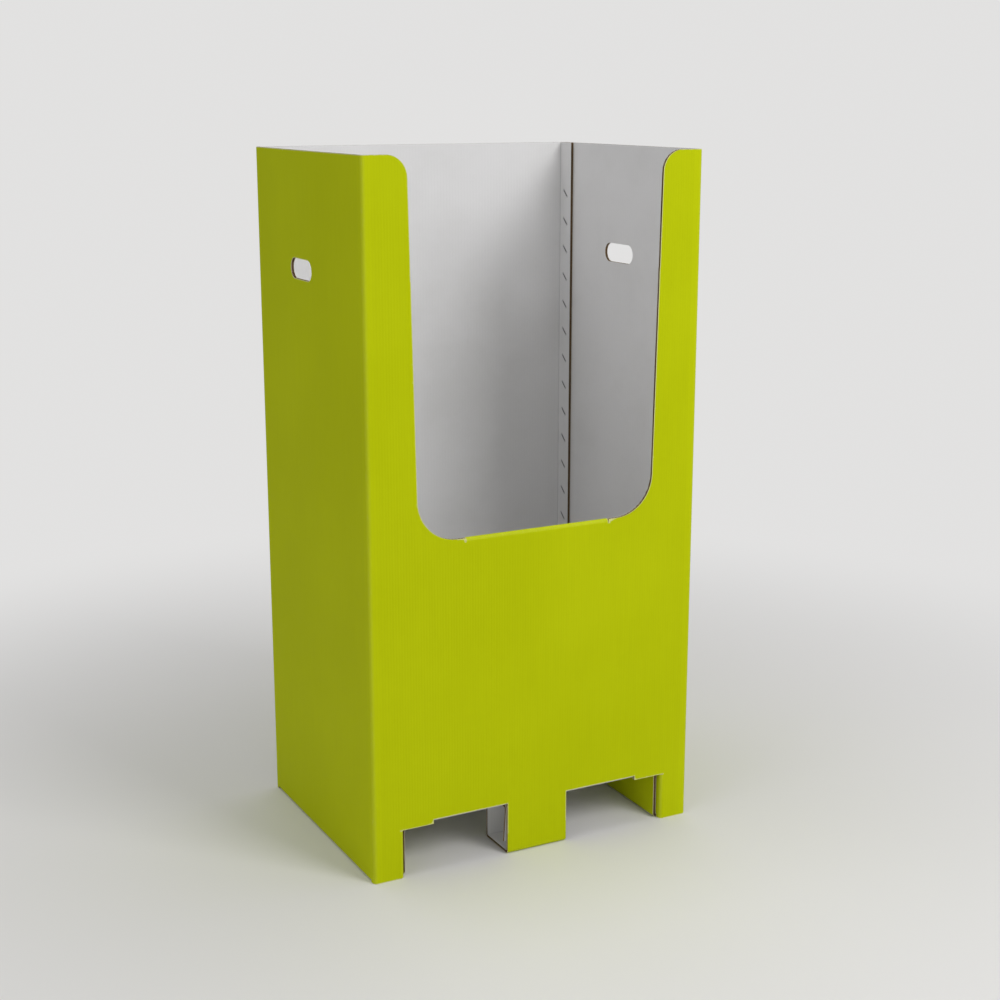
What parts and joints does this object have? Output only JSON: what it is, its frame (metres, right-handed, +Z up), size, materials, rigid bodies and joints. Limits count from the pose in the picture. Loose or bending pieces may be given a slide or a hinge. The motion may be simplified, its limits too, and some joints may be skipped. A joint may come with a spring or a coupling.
{
  "type": "cardboard display stand",
  "caption": "Tall open-topped corrugated board bin with a U-shaped front window, hand holes and fork openings between folded feet, for showing goods in a shop.",
  "frame": {"origin": "centre of the footprint, on the floor", "axes": "+Z up, -Y towards the front with the window, +X to the right for a viewer in front"},
  "size_m": [0.8, 0.6, 1.54],
  "materials": {
    "printed_board": "satin printed paper liner, white inside",
    "white_board": "matt white paper liner",
    "stitching_wire": "drawn flat wire"
  },
  "bodies": {
    "root": {"display_sleeve": "printed_board", "deck_tray": "white_board", "wire_stitches": "stitching_wire"}
  },
  "joints": []
}
